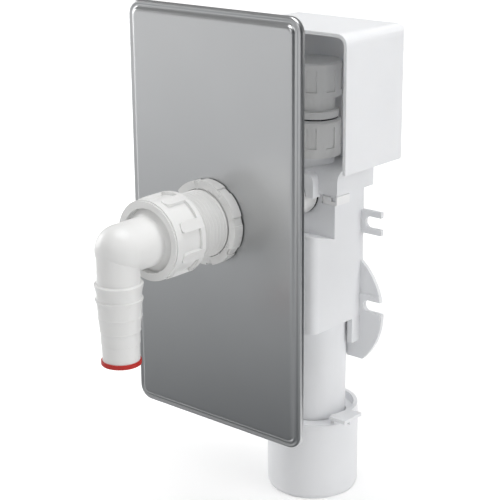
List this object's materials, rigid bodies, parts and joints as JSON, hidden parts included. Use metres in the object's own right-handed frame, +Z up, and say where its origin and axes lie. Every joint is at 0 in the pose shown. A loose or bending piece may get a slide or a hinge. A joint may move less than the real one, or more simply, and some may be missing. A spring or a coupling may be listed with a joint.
{
  "type": "concealed washing-machine trap",
  "caption": "Flush-mounted appliance trap: cover plate, threaded inlet with hose elbow, trap body with wall slots, air valve under a hood, and outlet spigot.",
  "frame": {"origin": "on the outlet axis, at the lower end of the spigot's straight wall, just above its chamfer", "axes": "+Z up along the outlet axis, away from the drain; -Y out of the wall towards the room, where the hose elbow is; +X to the right as seen from the room"},
  "size_m": [0.109, 0.1809, 0.2732],
  "materials": {
    "steel_plate": "satin",
    "white_plastic": "satin",
    "body_plastic": "matte",
    "red_plastic": "gloss",
    "black_rubber": "matte"
  },
  "bodies": {
    "trap": {"cover_plate": "steel_plate", "plate_washer": "black_rubber", "inlet_tube": "white_plastic", "tube_seal": "black_rubber", "elbow_gasket": "black_rubber", "trap_shell": "body_plastic", "trap_back": "body_plastic", "weir_wall": "body_plastic", "dip_wall": "body_plastic", "inlet_shelf": "body_plastic", "vent_duct": "body_plastic", "outlet_pipe": "body_plastic", "outlet_reducer": "body_plastic", "reducer_seal": "black_rubber", "hood": "body_plastic", "hood_clip_left": "white_plastic", "hood_clip_right": "white_plastic", "valve_neck": "white_plastic", "valve_seal": "black_rubber", "valve_guide": "white_plastic"},
    "lock_nut": {"plate_nut": "white_plastic"},
    "union": {"union_nut": "white_plastic"},
    "elbow": {"hose_elbow": "white_plastic"},
    "plug": {"blanking_plug": "red_plastic"},
    "low_nut": {"valve_nut": "white_plastic"},
    "top_cap": {"valve_cap": "white_plastic"},
    "disc": {"valve_disc": "black_rubber"}
  },
  "joints": [
    {"name": "plate_nut_turn", "type": "hinge", "parent": "trap", "child": "lock_nut", "pos_m": [0, -0.083, 0.1673], "axis": [0, -1, 0], "continuous": true},
    {"name": "union_nut_turn", "type": "hinge", "parent": "trap", "child": "union", "pos_m": [0, -0.115, 0.1673], "axis": [0, -1, 0], "continuous": true},
    {"name": "elbow_swivel", "type": "hinge", "parent": "union", "child": "elbow", "pos_m": [0, -0.1217, 0.1673], "axis": [0, -1, 0], "continuous": true},
    {"name": "plug_pull", "type": "slide", "parent": "elbow", "child": "plug", "axis": [0, 0, -1], "range_m": [0, 0.02]},
    {"name": "valve_nut_turn", "type": "hinge", "parent": "trap", "child": "low_nut", "pos_m": [0.0038, -0.0047, 0.197], "axis": [0, 0, 1], "continuous": true},
    {"name": "valve_cap_turn", "type": "hinge", "parent": "trap", "child": "top_cap", "pos_m": [0.0038, -0.0047, 0.227], "axis": [0, 0, 1], "continuous": true},
    {"name": "valve_disc_lift", "type": "slide", "parent": "trap", "child": "disc", "axis": [0, 0, 1], "range_m": [0, 0.003]}
  ]
}
